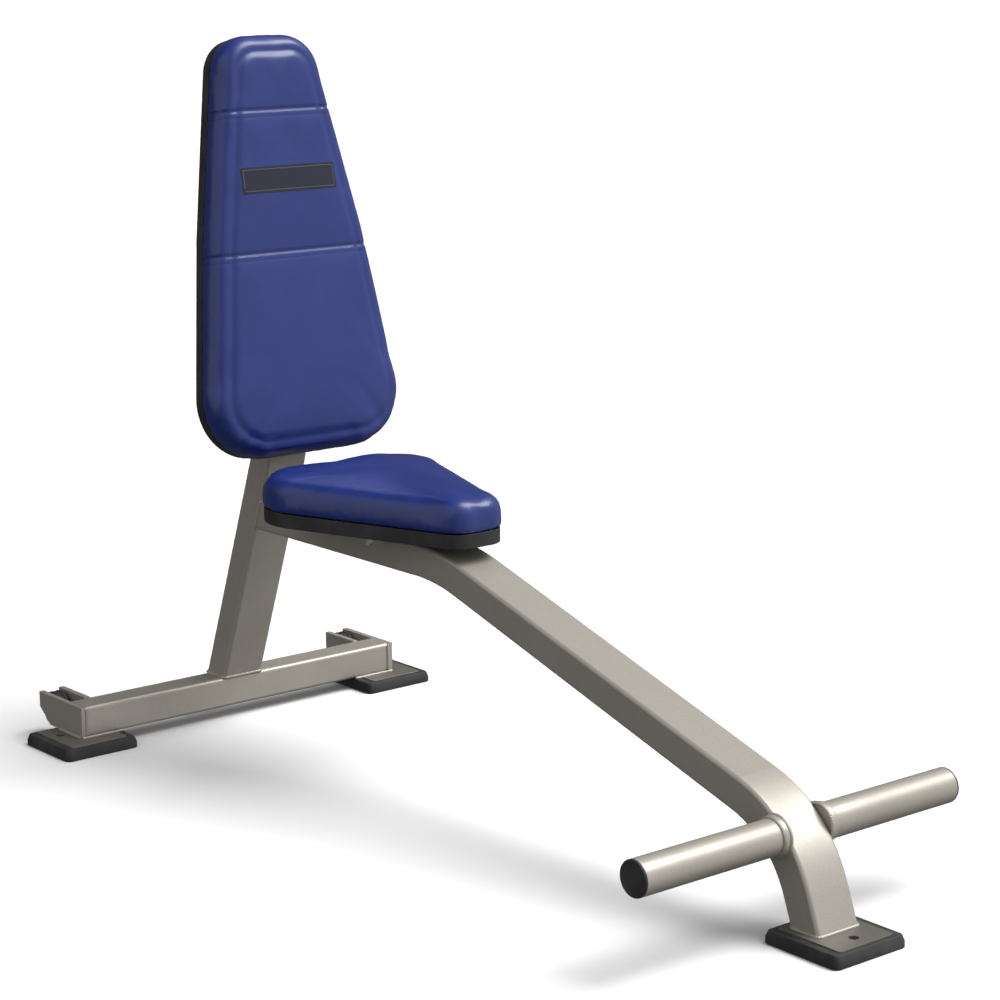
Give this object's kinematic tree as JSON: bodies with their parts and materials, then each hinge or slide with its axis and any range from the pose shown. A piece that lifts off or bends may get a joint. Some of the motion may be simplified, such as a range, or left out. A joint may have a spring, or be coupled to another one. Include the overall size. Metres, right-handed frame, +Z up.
{
  "type": "utility weight bench",
  "caption": "Upright utility weight bench: tapered seat and back pad on a bent tube beam, rear crossbar with two transport wheels, foot bar across the front leg, rubber feet.",
  "frame": {"origin": "on the floor, at the middle of the bench's length and width", "axes": "+X to the sitter's left, -Y to the front (where the sitter faces), +Z up"},
  "size_m": [0.7336, 1.5815, 1.136],
  "materials": {
    "frame": "silver champagne powder coat, satin metallic",
    "upholstery": "royal blue vinyl, semi-gloss, fine leather grain",
    "shells": "black moulded, fine texture",
    "plugs": "charcoal moulded, satin",
    "rubber": "black moulded rubber",
    "wheels": "black solid rubber",
    "nylon": "natural nylon",
    "zinc": "zinc plated",
    "plywood": "raw plywood"
  },
  "bodies": {
    "frame": {"rear_crossbar": "frame", "upright_post": "frame", "post_cap": "plugs", "main_beam": "frame", "bar_collar_left": "frame", "bar_collar_right": "frame", "foot_bar_left": "frame", "foot_bar_right": "frame", "foot_bar_plug_left": "plugs", "foot_bar_plug_right": "plugs", "front_foot_plate": "frame", "rear_foot_plate_left": "frame", "rear_foot_plate_right": "frame", "front_rubber_foot": "rubber", "rear_rubber_foot_left": "rubber", "rear_rubber_foot_right": "rubber", "outer_wheel_bracket_left": "frame", "outer_wheel_bracket_right": "frame", "inner_wheel_bracket_left": "frame", "inner_wheel_bracket_right": "frame", "axle_bolt_left": "zinc", "axle_bolt_right": "zinc", "thrust_washers": "zinc", "seat_plate_rear": "frame", "seat_plate_front": "frame", "seat_shell": "shells", "seat_board": "plywood", "seat_pad": "upholstery", "seat_tee_nuts": "zinc", "seat_bolts": "zinc", "back_plate_lower": "frame", "back_plate_upper": "frame", "back_shell": "shells", "back_board": "plywood", "back_pad": "upholstery", "back_tee_nuts": "zinc", "back_bolts": "zinc"},
    "wheel_left": {"transport_wheel_left": "wheels", "wheel_bush_left": "nylon"},
    "wheel_right": {"transport_wheel_right": "wheels", "wheel_bush_right": "nylon"}
  },
  "joints": [
    {"name": "wheel_left_spin", "type": "hinge", "parent": "frame", "child": "wheel_left", "pos_m": [0.29085, 0.76175, 0.041], "axis": [1, 0, 0], "continuous": true},
    {"name": "wheel_right_spin", "type": "hinge", "parent": "frame", "child": "wheel_right", "pos_m": [-0.29085, 0.76175, 0.041], "axis": [1, 0, 0], "continuous": true}
  ]
}
